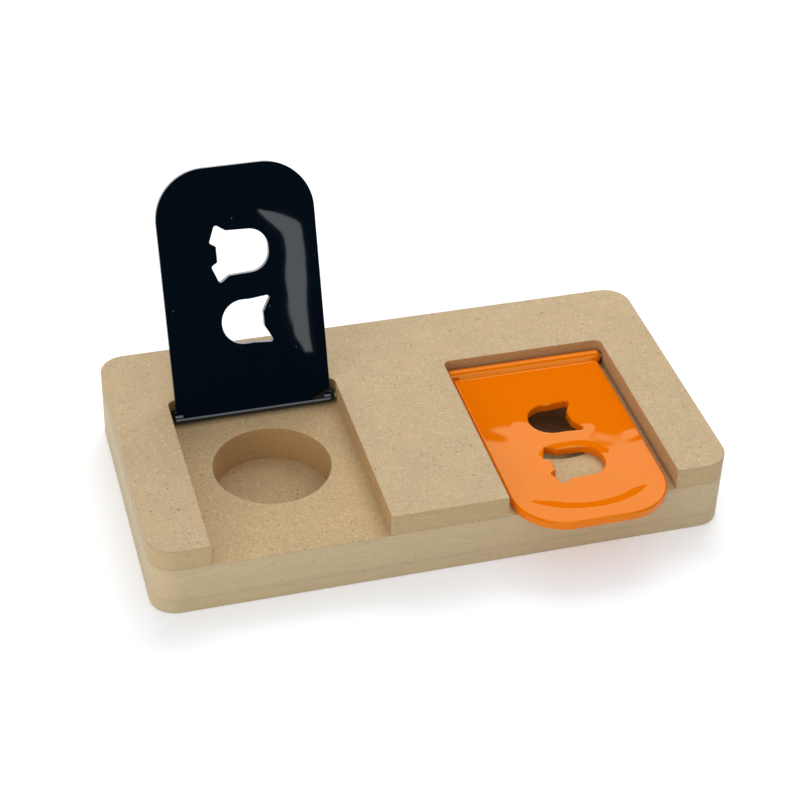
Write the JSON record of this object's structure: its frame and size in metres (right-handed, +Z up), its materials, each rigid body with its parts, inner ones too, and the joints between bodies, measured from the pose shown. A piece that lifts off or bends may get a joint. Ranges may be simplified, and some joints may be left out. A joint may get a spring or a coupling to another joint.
{
  "type": "treat puzzle slab with hinged lids",
  "caption": "Flat board slab with round treat wells, each under a hinged plastic lid that a dog lifts at its overhanging front end.",
  "frame": {"origin": "centre of the slab's underside", "axes": "+X along the slab's length towards the shut lid, +Y from the front, where the lids overhang, to the hinges at the back, +Z up"},
  "size_m": [0.222, 0.1327, 0.1142],
  "materials": {
    "board": "raw fibreboard",
    "black_plastic": "gloss",
    "orange_plastic": "gloss",
    "steel": "drawn wire"
  },
  "bodies": {
    "slab": {"base_board": "board", "well_board": "board", "channel_board": "board", "black_lid_pin": "steel", "orange_lid_pin": "steel"},
    "left_lid": {"black_lid": "black_plastic"},
    "right_lid": {"orange_lid": "orange_plastic"}
  },
  "joints": [
    {"name": "black_lid_hinge", "type": "hinge", "parent": "slab", "child": "left_lid", "pos_m": [-0.05575, 0.0233, 0.024], "axis": [1, 0, 0], "range_deg": [0, 111.7]},
    {"name": "orange_lid_hinge", "type": "hinge", "parent": "slab", "child": "right_lid", "pos_m": [0.05575, 0.0233, 0.024], "axis": [-1, 0, 0], "range_deg": [0, 111.7]}
  ]
}
